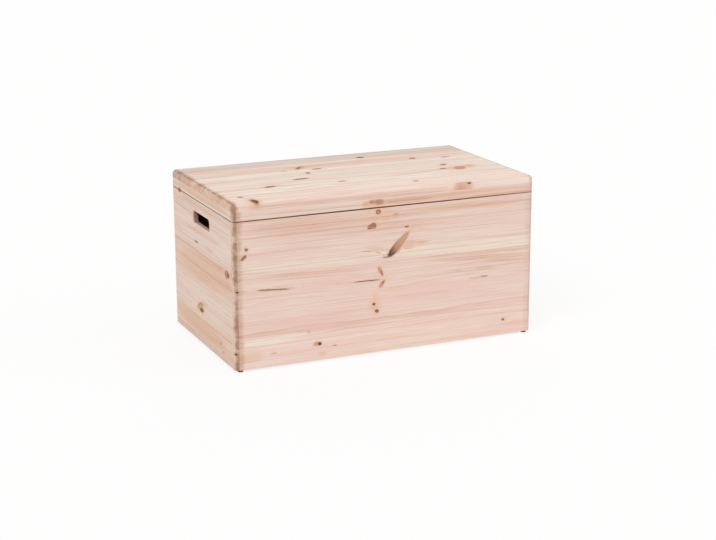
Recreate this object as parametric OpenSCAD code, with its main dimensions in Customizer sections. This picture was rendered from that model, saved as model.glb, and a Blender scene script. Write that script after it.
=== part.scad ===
// Lidded storage box of raw pine: a glued-up box, rounded and then sawn into a body and a lid.
// Millimetres, +Z up. The origin is on the floor, under the middle of the wooden body.
// The front faces -Y. The lid turns on two butt hinges at the back, and a slotted stay stops it.

/* [Box] */
// Length of the box, along X
box_w = 800; // [600:10:1000]
// Depth of the box, front to back, without the hinge barrels
box_d = 460; // [400:10:600]
// Height of the wooden body, from its lower edge to the saw cut
body_h = 363; // [300:0.5:450]
// Height of the lid, from the saw cut to its top face
lid_h = 41; // [40:0.5:60]
// Radius of the four upright corners
corner_r = 12; // [4:0.5:12]
// Radius round the top edge of the lid
top_edge_r = 10; // [2:0.5:11]
// Small radius along the lower edge of the body
foot_edge_r = 1.5; // [0.5:0.25:3]
// Small radius along both edges of the saw cut
cut_edge_r = 0.75; // [0.25:0.05:1]

/* [Boards] */
// Thickness of the glued pine boards
board_t = 14; // [12:0.5:18]
// Thickness of the lid's top board
lid_top_t = 18; // [14:0.5:19]
// Thickness of the plywood bottom
bottom_t = 5; // [3:0.5:8]
// Height of the underside of the bottom above the lower edge of the body
bottom_up = 12; // [12:0.5:20]
// Depth of the groove that holds the bottom
bottom_groove = 4; // [2:0.25:4]

/* [Corner joints] */
// Thickness of the tongue on each end of a side board
tongue_t = 6; // [4:0.5:7]
// Distance from the outer face of the side board to its tongue
tongue_in = 4; // [3.5:0.25:5]
// Length of the tongue
tongue_l = 6; // [4:0.5:7]

/* [Hand holes] */
// Length of the hand hole in each side
hole_l = 120; // [90:2:140]
// Height of the hand hole
hole_h = 30; // [24:1:40]
// Corner radius of the hand hole
hole_r = 9; // [4:0.5:12]
// Radius worked along both rims of the hand hole
hole_ease = 2.5; // [1:0.25:4]
// Distance from the saw cut down to the middle of the hand hole
hole_drop = 46; // [36:1:80]

/* [Finger relief] */
// Length of the shallow hollow under the front edge of the lid
relief_l = 580; // [200:10:600]
// Height of that hollow at its middle
relief_h = 1.4; // [0.4:0.1:3]
// Distance of its middle to the left of the middle of the box
relief_left = 70; // [0:5:80]

/* [Feet] */
// Diameter of each glide
foot_d = 14; // [12:0.5:20]
// Height of each glide
foot_h = 5; // [3:0.25:8]
// Radius round the lower edge of a glide, so that it slides over a carpet or a sill
foot_round = 2; // [0.5:0.25:2.5]
// Distance from the end of the box to the middle of a glide
foot_in_x = 15; // [14.5:0.25:20]
// Distance from the front or back to the middle of a glide
foot_in_y = 10; // [8:0.25:10]
// Diameter of the nail in a glide
nail_d = 2; // [1.6:0.1:2.4]
// Diameter of the nail's head
nail_head_d = 6; // [4:0.25:7]
// Thickness of the nail's head
nail_head_t = 1.2; // [0.8:0.1:1.6]
// Depth of the nail in the wood
nail_bite = 10; // [6:0.5:10]

/* [Hinges] */
// Length of a hinge along its pin
hinge_l = 64; // [50:1:90]
// Height of one leaf, measured from the pin
leaf_h = 23; // [18:0.5:23]
// Thickness of the sheet that the leaves are folded from
leaf_t = 1.2; // [1:0.1:1.6]
// Diameter of the hinge pin
pin_d = 3; // [2.5:0.1:4]
// Distance from the end of the box to the middle of a hinge
hinge_in = 150; // [90:5:220]
// Number of knuckles along one hinge
knuckles = 5; // [3:2:7]
// Length of the domed head on each end of the pin
pin_head_l = 0.9; // [0.5:0.1:1.5]
// Diameter of that head
pin_head_d = 4.4; // [3.5:0.1:5.4]

/* [Screws] */
// Number of screws in one leaf
leaf_screws = 3; // [2:1:4]
// Distance from the end of a leaf to the middle of its outer screw
screw_in = 9; // [6:0.5:12]
// Diameter of the shank
screw_d = 3; // [2.5:0.1:3.5]
// Diameter of the countersunk head
screw_head_d = 6; // [5:0.1:7]
// Depth of a screw in the wood
screw_bite = 10; // [7:0.5:10]
// Length of the point at the end of a screw
screw_point = 3; // [2:0.25:4]
// Width of one bar of the cross in a screw head
cross_w = 0.8; // [0.5:0.05:1]
// Depth of that cross
cross_deep = 0.7; // [0.4:0.05:0.9]

/* [Lid stay] */
// How far the lid opens, in degrees
lid_open = 95; // [85:1:100]
// Distance from the hinge pin to the pivot on the lid, and to the stud on the side
stay_r = 130; // [120:1:150]
// Height of the pivot above the middle of the saw cut
pivot_up = 13; // [11:0.5:14]
// Depth of the stud below the middle of the saw cut
stud_down = 55; // [45:1:65]
// Width of the arm
arm_w = 13; // [11:0.5:15]
// Thickness of the arm
arm_t = 2; // [1.5:0.1:2.5]
// Thickness of the plate on the lid, and of the collar under the stud
plate_t = 1.5; // [1:0.1:2]
// Length of the plate on the lid
plate_l = 42; // [36:1:50]
// Height of the plate on the lid
plate_h = 16; // [14:0.5:18]
// Distance from an end of the plate to its screw
plate_screw_in = 7; // [6:0.25:8]
// Diameter of the stud, and of the rivet that the arm turns on
stud_d = 5; // [4:0.25:6]
// Diameter of the collar under the stud
collar_d = 14; // [12:0.5:16]
// Diameter of the heads of the stud and the rivet
stud_head_d = 10; // [9:0.25:12]
// Thickness of those heads
stud_head_t = 1.6; // [1:0.1:2]
// Metal left beyond the end of the slot
slot_end = 5; // [3:0.5:8]

/* [Clearances] */
// Width of the saw cut between the body and the lid
cut_gap = 1; // [0.4:0.05:1.5]
// Play round a tongue or the edge of the bottom in its groove
glue_gap = 0.1; // [0.05:0.05:0.3]
// Play between a screw or nail and its hole
screw_gap = 0.05; // [0.02:0.01:0.1]
// Running clearance round a hinge pin and round the rivet, on the radius
pin_gap = 0.05; // [0.02:0.01:0.1]
// Clearance between pieces that move past each other
move_gap = 0.3; // [0.2:0.05:0.5]

/* [Hidden] */

$fn = 48;

// Cutting tools run past the wood by this much
over = 1;

// Heights above the floor
body_z = foot_h;
cut_z = body_z + body_h + cut_gap / 2;
lid_z = body_z + body_h + cut_gap;
rail_h = lid_h - lid_top_t;

// Inside faces of the box
in_x = box_w / 2 - board_t;
in_y = box_d / 2 - board_t;

// The pin's axis: the barrel stands off the back by the moving clearance
barrel_r = pin_d / 2 + pin_gap + leaf_t;
pin_y = box_d / 2 + move_gap + barrel_r;
pin_z = cut_z;
knuckle_l = hinge_l / knuckles;
hinge_x = box_w / 2 - hinge_in;
screw_z = barrel_r + (leaf_h - barrel_r) / 2;
screw_step = (hinge_l - 2 * screw_in) / (leaf_screws - 1);

// The stay. The pivot and the stud lie on one circle round the pin, so the arm turns at
// exactly half the lid's rate and a straight slot stays on the stud at every angle.
pivot_y = pin_y - sqrt(stay_r * stay_r - pivot_up * pivot_up);
pivot_z = pin_z + pivot_up;
stud_y = pin_y - sqrt(stay_r * stay_r - stud_down * stud_down);
stud_z = pin_z - stud_down;
spread = asin(pivot_up / stay_r) + asin(stud_down / stay_r);
reach_shut = 2 * stay_r * sin(spread / 2);
reach_open = 2 * stay_r * sin((spread + lid_open) / 2);
arm_angle = atan2(stud_z - pivot_z, stud_y - pivot_y);
plate_x = in_x - plate_t;
arm_x = plate_x - move_gap - arm_t;
head_x = arm_x - move_gap - stud_head_t;

pine_front = "#e8cfbf";
pine_side = "#dfc8b2";
pine_top = "#ead9c6";
plywood = "#e2cfaf";
glide_brown = "#4a3a31";
plated_steel = "#c9bf9f";
bright_steel = "#bcbdbf";

// Half of an upright section, from the axis out to r, with its outer corners rounded
module eased_section(r, h, low, high) {
    difference() {
        square([r, h]);
        translate([r - low, -over]) square([low + over, low + over]);
        translate([r - high, h - high]) square([high + over, high + over]);
    }
    translate([r - low, low]) mirror([0, 1]) quarter_round(low);
    translate([r - high, h - high]) quarter_round(high);
}

// A quarter of a circle
module quarter_round(r) {
    intersection() {
        circle(r);
        square(r);
    }
}

// Half of a section that flares out towards both of its ends
module flared_section(r, h, flare) {
    difference() {
        square([r + flare, h]);
        translate([r, flare]) square([flare + over, h - 2 * flare]);
        translate([r + flare, flare]) circle(flare);
        translate([r + flare, h - flare]) circle(flare);
    }
}

// Runs a half section round a rectangle with rounded corners; r is the corners' radius
module run_round(w, d, h, r) {
    for (x = [-1, 1], y = [-1, 1])
        translate([x * (w / 2 - r), y * (d / 2 - r), 0])
            rotate(atan2(y, x) - 45) rotate_extrude(angle = 90) children();
    for (side = [0, 1]) mirror([0, side, 0])
        translate([0, d / 2 - r, 0]) rotate([90, 0, 90])
            linear_extrude(w - 2 * r, center = true) children();
    for (side = [0, 1]) mirror([side, 0, 0])
        translate([w / 2 - r, 0, 0]) rotate([90, 0, 0])
            linear_extrude(d - 2 * r, center = true) children();
    translate([r - w / 2, r - d / 2, 0]) cube([w - 2 * r, d - 2 * r, h]);
}

// The outer form of the body and of the lid, before they are taken apart into boards
module body_block() {
    translate([0, 0, body_z]) run_round(box_w, box_d, body_h, corner_r)
        eased_section(corner_r, body_h, foot_edge_r, cut_edge_r);
}

module lid_block() {
    translate([0, 0, lid_z]) run_round(box_w, box_d, lid_h, corner_r)
        eased_section(corner_r, lid_h, cut_edge_r, top_edge_r);
}

// A box from one corner to the opposite one
module span(low, high) {
    translate(low) cube(high - low);
}

// Grooves in a front or back board for the tongues of the side boards
module tongue_grooves(z, h) {
    for (side = [0, 1]) mirror([side, 0, 0])
        span([box_w / 2 - tongue_in - tongue_t - glue_gap, -in_y - tongue_l - glue_gap, z - over],
            [box_w / 2 - tongue_in + glue_gap, -in_y + over, z + h + over]);
}

// The groove for the bottom, round the inside of the body
module bottom_room() {
    span([-in_x - bottom_groove, -in_y - bottom_groove, body_z + bottom_up - glue_gap],
        [in_x + bottom_groove, in_y + bottom_groove, body_z + bottom_up + bottom_t + glue_gap]);
}

// The part of a block that makes a front board
module front_cut(z, h) {
    intersection() {
        children();
        span([-box_w / 2 - over, -box_d / 2 - over, z - over],
            [box_w / 2 + over, -in_y, z + h]);
    }
}

// The part of a block that makes a left board, between the front and back boards
module left_cut(z, h) {
    intersection() {
        children();
        span([-box_w / 2 - over, -in_y, z - over], [-in_x, in_y, z + h]);
    }
    for (side = [0, 1]) mirror([0, side, 0])
        span([-box_w / 2 + tongue_in, -in_y - tongue_l, z],
            [-box_w / 2 + tongue_in + tongue_t, -in_y, z + h]);
}

// Pilot holes that the nails of the glides stand in
module nail_holes() {
    for (x = [-1, 1], y = [-1, 1])
        translate([x * (box_w / 2 - foot_in_x), y * (box_d / 2 - foot_in_y), body_z - over])
            cylinder(d = nail_d + 2 * screw_gap, h = nail_bite + over + screw_gap);
}

// A countersunk wood screw along -Y, with the top of its head at y = 0
module wood_screw(sheet) {
    rotate([90, 0, 0]) difference() {
        union() {
            cylinder(d1 = screw_head_d, d2 = screw_d, h = sheet);
            cylinder(d = screw_d, h = sheet + screw_bite - screw_point);
            translate([0, 0, sheet + screw_bite - screw_point])
                cylinder(d1 = screw_d, d2 = screw_d / 4, h = screw_point);
        }
        for (turn = [0, 90]) rotate(turn)
            translate([-screw_d / 2, -cross_w / 2, -over]) cube([screw_d, cross_w, cross_deep + over]);
    }
}

// The hole that such a screw fills, in the sheet metal and in the wood behind it
module screw_hole(sheet) {
    rotate([90, 0, 0]) {
        cylinder(d1 = screw_head_d + 2 * screw_gap, d2 = screw_d + 2 * screw_gap, h = sheet);
        cylinder(d = screw_d + 2 * screw_gap, h = sheet + screw_bite + screw_gap);
    }
}

// Repeats its children at each screw of a hinge's leaves: up is 1 on the lid and -1 on the body
module at_leaf_screws(up) {
    for (x = [-hinge_x, hinge_x], i = [0 : leaf_screws - 1])
        translate([x - hinge_l / 2 + screw_in + i * screw_step, box_d / 2 + leaf_t, pin_z + up * screw_z])
            children();
}

// Repeats its children at the two screws of the stay's plate
module at_plate_screws() {
    for (y = [-1, 1])
        translate([plate_x, pivot_y + y * (plate_l / 2 - plate_screw_in), pivot_z])
            rotate(90) children();
}

module front_panel() {
    color(pine_front) difference() {
        front_cut(body_z, body_h + over) body_block();
        tongue_grooves(body_z, body_h);
        bottom_room();
        nail_holes();
    }
}

module back_panel() {
    color(pine_front) difference() {
        mirror([0, 1, 0]) front_cut(body_z, body_h + over) body_block();
        mirror([0, 1, 0]) tongue_grooves(body_z, body_h);
        bottom_room();
        nail_holes();
        at_leaf_screws(-1) screw_hole(leaf_t);
    }
}

// The hand hole, through the left side
module hand_hole() {
    translate([-box_w / 2, 0, cut_z - hole_drop]) rotate([90, 0, 90])
        run_round(hole_l, hole_h, board_t, hole_r) flared_section(hole_r, board_t, hole_ease);
}

module side_panel() {
    difference() {
        left_cut(body_z, body_h) body_block();
        bottom_room();
        hand_hole();
    }
}

module left_panel() {
    color(pine_side) side_panel();
}

module right_panel() {
    color(pine_side) difference() {
        mirror([1, 0, 0]) side_panel();
        translate([in_x - over, stud_y, stud_z]) rotate([0, 90, 0])
            cylinder(d = screw_d + 2 * screw_gap, h = screw_bite + over + screw_gap);
    }
}

module bottom_panel() {
    edge = bottom_groove - glue_gap;
    color(plywood)
        span([-in_x - edge, -in_y - edge, body_z + bottom_up],
            [in_x + edge, in_y + edge, body_z + bottom_up + bottom_t]);
}

// A glide under one corner: x and y say which. Its nail's head is sunk into its lower face.
module foot(x, y) {
    color(glide_brown)
        translate([x * (box_w / 2 - foot_in_x), y * (box_d / 2 - foot_in_y), 0])
            difference() {
                rotate_extrude() mirror([0, 1]) translate([0, -foot_h])
                    eased_section(foot_d / 2, foot_h, foot_h / 10, foot_round);
                translate([0, 0, -over])
                    cylinder(d = nail_head_d + 2 * screw_gap, h = 2 * nail_head_t + over);
                cylinder(d = nail_d + 2 * screw_gap, h = foot_h + over);
            }
}

module foot_front_left() {
    foot(-1, -1);
}

module foot_front_right() {
    foot(1, -1);
}

module foot_back_left() {
    foot(-1, 1);
}

module foot_back_right() {
    foot(1, 1);
}

module foot_nails() {
    color(bright_steel) for (x = [-1, 1], y = [-1, 1])
        translate([x * (box_w / 2 - foot_in_x), y * (box_d / 2 - foot_in_y), nail_head_t]) {
            cylinder(d = nail_head_d, h = nail_head_t);
            cylinder(d = nail_d, h = foot_h - nail_head_t + nail_bite - nail_d);
            translate([0, 0, foot_h - nail_head_t + nail_bite - nail_d])
                cylinder(d1 = nail_d, d2 = nail_d / 4, h = nail_d);
        }
}

// One hinge leaf, folded round the pin at every other knuckle from the first one on
module leaf(x, first, up) {
    color(plated_steel) difference() {
        translate([x - hinge_l / 2, pin_y, pin_z]) {
            for (i = [first : 2 : knuckles - 1])
                translate([i * knuckle_l + move_gap / 2, 0, 0])
                    rotate([90, 0, 90]) linear_extrude(knuckle_l - move_gap)
                        mirror([0, up < 0 ? 1 : 0]) knuckle_section();
            span_up([0, -barrel_r - move_gap, barrel_r + move_gap],
                [hinge_l, -barrel_r - move_gap + leaf_t, leaf_h], up);
        }
        at_leaf_screws(up) screw_hole(leaf_t);
        translate([x - hinge_l / 2 - over, pin_y, pin_z]) rotate([0, 90, 0])
            cylinder(r = pin_d / 2 + pin_gap, h = hinge_l + 2 * over);
    }
}

// A box given above the pin, turned below it when up is -1
module span_up(low, high, up) {
    mirror([0, 0, up < 0 ? 1 : 0]) span(low, high);
}

// The end view of a knuckle and of the sheet that runs from it along the wood
module knuckle_section() {
    circle(barrel_r);
    translate([-barrel_r - move_gap, 0]) square([leaf_t, barrel_r + 2 * move_gap]);
}

module pin(x) {
    color(bright_steel) translate([x - hinge_l / 2, pin_y, pin_z]) rotate([0, 90, 0]) {
        cylinder(d = pin_d, h = hinge_l);
        translate([0, 0, hinge_l]) cylinder(d1 = pin_head_d, d2 = pin_d, h = pin_head_l);
        translate([0, 0, -pin_head_l]) cylinder(d1 = pin_d, d2 = pin_head_d, h = pin_head_l);
    }
}

module hinge_left_body_leaf() {
    leaf(-hinge_x, 0, -1);
}

module hinge_right_body_leaf() {
    leaf(hinge_x, 0, -1);
}

module hinge_left_lid_leaf() {
    leaf(-hinge_x, 1, 1);
}

module hinge_right_lid_leaf() {
    leaf(hinge_x, 1, 1);
}

module hinge_left_pin() {
    pin(-hinge_x);
}

module hinge_right_pin() {
    pin(hinge_x);
}

module hinge_body_screws() {
    color(plated_steel) at_leaf_screws(-1) wood_screw(leaf_t);
}

module hinge_lid_screws() {
    color(plated_steel) at_leaf_screws(1) wood_screw(leaf_t);
}

module lid_top() {
    color(pine_top) intersection() {
        lid_block();
        span([-box_w, -box_d, lid_z + rail_h], [box_w, box_d, lid_z + lid_h + over]);
    }
}

// The shallow hollow under the lid's front edge, an arc drawn in short straight steps
module finger_relief() {
    steps = 24;
    arc = [for (i = [0 : steps]) let (s = 2 * i / steps - 1) [s * relief_l / 2, relief_h * (1 - s * s)]];
    translate([-relief_left, -in_y + over, lid_z]) rotate([90, 0, 0])
        linear_extrude(board_t + 2 * over)
            polygon(concat([[-relief_l / 2, -over]], arc, [[relief_l / 2, -over]]));
}

module lid_front_rail() {
    color(pine_front) difference() {
        front_cut(lid_z, rail_h) lid_block();
        tongue_grooves(lid_z, rail_h);
        finger_relief();
    }
}

module lid_back_rail() {
    color(pine_front) difference() {
        mirror([0, 1, 0]) front_cut(lid_z, rail_h) lid_block();
        mirror([0, 1, 0]) tongue_grooves(lid_z, rail_h);
        at_leaf_screws(1) screw_hole(leaf_t);
    }
}

module lid_left_rail() {
    color(pine_side) left_cut(lid_z, rail_h) lid_block();
}

module lid_right_rail() {
    color(pine_side) difference() {
        mirror([1, 0, 0]) left_cut(lid_z, rail_h) lid_block();
        at_plate_screws() screw_hole(plate_t);
    }
}

// A flat bar along +X with round ends; its first round is at the origin
module bar(l, w) {
    circle(d = w);
    translate([l, 0]) circle(d = w);
    translate([0, -w / 2]) square([l, w]);
}

// The plate that holds the stay on the lid's right rail
module stay_plate() {
    color(plated_steel) difference() {
        translate([plate_x, pivot_y - plate_l / 2 + plate_h / 2, pivot_z]) rotate([90, 0, 90])
            linear_extrude(plate_t) bar(plate_l - plate_h, plate_h);
        at_plate_screws() screw_hole(plate_t);
        translate([plate_x - over, pivot_y, pivot_z]) rotate([0, 90, 0])
            cylinder(r = stud_d / 2 + pin_gap, h = plate_t + 2 * over);
    }
}

module stay_plate_screws() {
    color(plated_steel) at_plate_screws() wood_screw(plate_t);
}

// A flat round head with a short shank towards +X; both rest the arm against the plate
module headed(l) {
    cylinder(d1 = stud_head_d - stud_head_t, d2 = stud_head_d, h = stud_head_t);
    cylinder(d = stud_d, h = l);
}

module stay_rivet() {
    color(bright_steel) translate([head_x, pivot_y, pivot_z]) rotate([0, 90, 0])
        headed(in_x - head_x);
}

// The shouldered screw in the right side that the arm's slot slides on
module stay_stud() {
    color(bright_steel) translate([head_x, stud_y, stud_z]) rotate([0, 90, 0]) {
        headed(in_x - head_x);
        translate([0, 0, plate_x - head_x]) cylinder(d = collar_d, h = plate_t);
        translate([0, 0, in_x - head_x]) cylinder(d = screw_d, h = screw_bite - screw_point);
        translate([0, 0, in_x - head_x + screw_bite - screw_point])
            cylinder(d1 = screw_d, d2 = screw_d / 4, h = screw_point);
    }
}

// The slotted arm, at rest from the pivot down past the stud
module stay_arm() {
    slot_w = stud_d + 2 * move_gap;
    color(plated_steel)
        translate([arm_x, pivot_y, pivot_z]) rotate([90, 0, 90]) rotate(arm_angle)
            linear_extrude(arm_t) difference() {
                bar(reach_open + move_gap + slot_w / 2 + slot_end - arm_w / 2, arm_w);
                circle(r = stud_d / 2 + pin_gap);
                translate([reach_shut - move_gap, 0]) bar(reach_open - reach_shut + 2 * move_gap, slot_w);
            }
}

front_panel();
back_panel();
left_panel();
right_panel();
bottom_panel();
foot_front_left();
foot_front_right();
foot_back_left();
foot_back_right();
foot_nails();
hinge_left_body_leaf();
hinge_left_pin();
hinge_right_body_leaf();
hinge_right_pin();
hinge_body_screws();
lid_top();
lid_front_rail();
lid_back_rail();
lid_left_rail();
lid_right_rail();
hinge_left_lid_leaf();
hinge_right_lid_leaf();
hinge_lid_screws();
stay_plate();
stay_plate_screws();
stay_rivet();
stay_stud();
stay_arm();
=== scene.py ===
"""Raw pine storage chest with a hinged lid: finishes, floor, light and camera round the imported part."""

import math

import bpy
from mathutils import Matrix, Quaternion, Vector

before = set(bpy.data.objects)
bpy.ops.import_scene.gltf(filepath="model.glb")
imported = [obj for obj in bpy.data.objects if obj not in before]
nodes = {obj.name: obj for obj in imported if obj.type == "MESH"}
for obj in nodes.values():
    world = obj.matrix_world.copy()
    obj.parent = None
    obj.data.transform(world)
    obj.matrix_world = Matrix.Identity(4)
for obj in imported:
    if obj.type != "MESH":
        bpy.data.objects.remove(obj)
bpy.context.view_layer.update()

MM = 0.001  # metres in a millimetre

# The camera: degrees, then millimetres.
AZIMUTH = -23.83
ELEVATION = 15.12
ROLL = -0.232
DISTANCE = 4173.6
AIM = (10.9, -19.7, 157.2)
LENS = 81.9  # on a 36 mm sensor

# The chest, in millimetres.
CORNER_R = 12  # rounding of the upright corners, where the long boards show their ends
BOARD_T = 14  # thickness of the boards
CUT_Z = 368.5  # the saw cut between body and lid
HOLE_Z = 322.5  # the middle of the hand holes

# How pine grows, in millimetres.
RING = 3.2  # one year's growth
WAVER = 2.4  # how far a fine waver moves a ring
UNEVEN = 8.0  # how far runs of good and bad years move it
KNOT_BEND = 6.0  # how far the rings bend round a knot
HEART_SIDE = 95  # how far to a side of its stave the tree's heart can lie
HEART_NEAR, HEART_FAR = 20, 85  # how far from its outer face the heart can lie, always outside the wood
WANDER = 5  # how far the heart strays along a board
RAGGED = (4.4, 3.4, 0)  # how ragged the outlines of knots are
EDGE_RAGGED = 16.0  # how ragged the edge of the end grain's tone is
FIBRE = 0.9  # a bundle of fibres; a real one is finer than the picture can show

# The size of each pattern's features in the wood: along the grain, across the board, through it.
WANDER_SIZE = (480, 700, 700)
RAG_SIZE = (9, 5, 30)
WAVER_SIZE = (130, 18, 18)
DRIFT_SIZE = (300, 30, 30)
STREAK_SIZE = (520, 7, 7)
FIBRE_SIZE = (60, FIBRE, FIBRE)
PATCH_SIZE = (60, 26, 26)
YEARS_SIZE = 14  # out from the heart: a run of good or bad years
STAVES_APART = (60, 60, 60)  # how far apart two staves' wanderings are taken from one pattern

# How dark the wood grows through one year, from spring to the end of summer.
YEAR = [(0.0, 0.0), (0.42, 0.04), (0.74, 0.5), (0.9, 1.0), (1.0, 0.0)]

# Colours that lie over the wood, and others that tint it.
DRIFT = [(0.34, "EAD0C6"), (0.5, "EDDDD3"), (0.66, "EFE7DB")]  # from pink to cream along a stave
RESIN = "B88F74"
SPIKE_HALO = "DDB397"
STREAK_TINT = "F2E0D7"
LATE_TINT = "EACDBE"  # the dark part of each ring
FIBRE_TINT = "F7EFEA"
SPIKE_RIM_TINT = "D3A995"
EDGE_TINT = "E2D2C5"  # where a long board starts to turn round its corner

# Reaches in an oval's own measure, where its outline is 1. Of two, the mark is full up to the first and ends at
# the second.
BEND = 0.4, 3.2  # of the rings round a knot
KNOT = 0.72, 1.22
SPIKE = 0.72, 1.12
HALO_FULL = 0.9  # each kind of knot has its own end of the halo
SPIKE_RIM = 0.86
FAR_OFF = 4.0  # past every reach
THROUGH_ALL = 400  # millimetres: so deep that a mark shows on both faces of a board

# Reaches of the painted shade in the seam of the saw cut and on the hand holes' walls, in millimetres, full and ended
# as above.
CUT_EDGE = 0.9, 2.1  # up and down from the middle of the saw cut
CUT_DEEP = 2.5, 5.5  # in from the outer face
HOLE_EDGE = 18.0, 24.0  # up and down from the middle of the hand hole

# Settings and inputs that many nodes share.
LAID_OVER = {"data_type": "RGBA", "blend_type": "MIX"}
TINTED = {"data_type": "RGBA", "blend_type": "MULTIPLY"}
SHARE, UNDER, OVER = 0, 6, 7  # of a colour Mix
SOFT = {"interpolation_type": "SMOOTHSTEP"}
VALUE, NEAR, FAR, AT_NEAR, AT_FAR = range(5)  # of a Map Range: it gives AT_NEAR up to NEAR, and AT_FAR from FAR on


def linear(code):
    """An sRGB hex colour as linear red, green, blue and alpha."""
    shades = [int(code[i : i + 2], 16) / 255 for i in (0, 2, 4)]
    return [s / 12.92 if s <= 0.04045 else ((s + 0.055) / 1.055) ** 2.4 for s in shades] + [1.0]


def per(size):
    """The scale that gives a pattern's features this size."""
    return tuple(1 / length for length in size)


def add(t, kind, settings=None, links=None):
    """Adds one node to the tree t. Stops fill its colour ramp. Links give each input a value, an output, or a
    node, which stands for its first output in use."""
    node = t.nodes.new("ShaderNode" + kind)
    for name, value in (settings or {}).items():
        if name != "stops":
            setattr(node, name, value)
            continue
        ramp = node.color_ramp
        while len(ramp.elements) < len(value):
            ramp.elements.new(1.0)
        for element, (place, shade) in zip(ramp.elements, value):
            element.position = place
            element.color = linear(shade) if isinstance(shade, str) else [shade] * 3 + [1.0]
    for name, value in (links or {}).items():
        socket = node.inputs[name]
        if isinstance(value, bpy.types.Node):
            value = next(output for output in value.outputs if output.enabled)
        if isinstance(value, bpy.types.NodeSocket):
            t.links.new(value, socket)
        else:
            socket.default_value = linear(value) if isinstance(value, str) else value
    return node


def new_material(name):
    """A material and its node tree, still empty."""
    material = bpy.data.materials.new(name)
    material.use_nodes = True
    material.node_tree.nodes.clear()
    return material, material.node_tree


def millimetres(t):
    """The shaded point in the part's frame, in millimetres, and the way its surface faces."""
    place = add(t, "TexCoord")
    mm = add(t, "VectorMath", {"operation": "SCALE"}, {0: place.outputs["Object"], "Scale": 1 / MM})
    return mm, place.outputs["Normal"]


def oval(t, where, spot, depth):
    """How far a point is from an oval's middle, 1 on its outline, and the point in the oval's own measure.
    A spot starts: place along and across the grain, half its length, half its width, tilt in degrees.
    depth: where its middle lies through the board, and how far it reaches from there."""
    along, across, half_length, half_width, tilt = spot[:5]
    level, slope = math.cos(math.radians(tilt)), math.sin(math.radians(tilt))
    own_axes = (
        (level / half_length, slope / half_length, 0),
        (-slope / half_width, level / half_width, 0),
        (0, 0, 1 / depth[1]),
    )
    off = add(t, "VectorMath", {"operation": "SUBTRACT"}, {0: where, 1: (along, across, depth[0])})
    # Dot products, because a material with this many Mapping nodes is too big to render.
    parts = [add(t, "VectorMath", {"operation": "DOT_PRODUCT"}, {0: off, 1: axis}) for axis in own_axes]
    inside = add(t, "CombineXYZ", {}, dict(enumerate(parts)))
    return add(t, "VectorMath", {"operation": "LENGTH"}, {0: inside}), inside


def nearest_knots(t, board, where, across):
    """How far a point is from the nearest knot of each look, 1 on its rim."""
    nearest = {}
    for spot in board["knots"]:
        limits = spot[6] if len(spot) > 6 else {}
        reach, _ = oval(t, where, spot, limits.get("depth", (board["face"], THROUGH_ALL)))
        # A knot can stop at a glue joint.
        for limit, beyond in (("above", -1), ("below", 1)):
            if limit in limits:
                past = add(t, "MapRange", {}, {
                    VALUE: across, NEAR: limits[limit], FAR: limits[limit] + beyond, AT_NEAR: 0.0, AT_FAR: FAR_OFF})
                reach = add(t, "Math", {"operation": "MAXIMUM"}, {0: reach, 1: past})
        look = spot[5]
        if look in nearest:
            reach = add(t, "Math", {"operation": "MINIMUM"}, {0: nearest[look], 1: reach})
        nearest[look] = reach
    return nearest


def from_heart(t, board, grain, number, chance):
    """How far a point is from the heart of its tree, which lies beside and outside its stave, and wanders along it."""
    width = board["stave"]
    side = board["tones"][0][0] + width / 2 - HEART_SIDE
    heart_side = add(t, "Math", {"operation": "MULTIPLY_ADD"}, {0: number, 1: width, 2: side})
    heart_base = add(t, "CombineXYZ", {}, {1: heart_side, 2: board["face"] + HEART_NEAR})
    heart = add(t, "VectorMath", {"operation": "MULTIPLY_ADD"}, {
        0: chance, 1: (0, 2 * HEART_SIDE, HEART_FAR - HEART_NEAR), 2: heart_base})
    sized = add(t, "VectorMath", {"operation": "MULTIPLY"}, {0: grain, 1: per(WANDER_SIZE)})
    wander_at = add(t, "VectorMath", {"operation": "MULTIPLY_ADD"}, {0: chance, 1: STAVES_APART, 2: sized})
    wander = add(t, "TexNoise", {}, {"Vector": wander_at, "Scale": 1.0, "Detail": 1.5, "Roughness": 0.4})
    shift = add(t, "VectorMath", {"operation": "MULTIPLY_ADD"}, {
        0: wander.outputs["Color"], 1: (0, 2 * WANDER, 3 * WANDER), 2: (0, -WANDER, -1.5 * WANDER)})
    off_heart = add(t, "VectorMath", {"operation": "SUBTRACT"}, {0: grain, 1: heart})
    wandered = add(t, "VectorMath", {"operation": "ADD"}, {0: off_heart, 1: shift})
    square_on = add(t, "VectorMath", {"operation": "MULTIPLY"}, {0: wandered, 1: (0, 1, 1)})
    return add(t, "VectorMath", {"operation": "LENGTH"}, {0: square_on})


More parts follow.
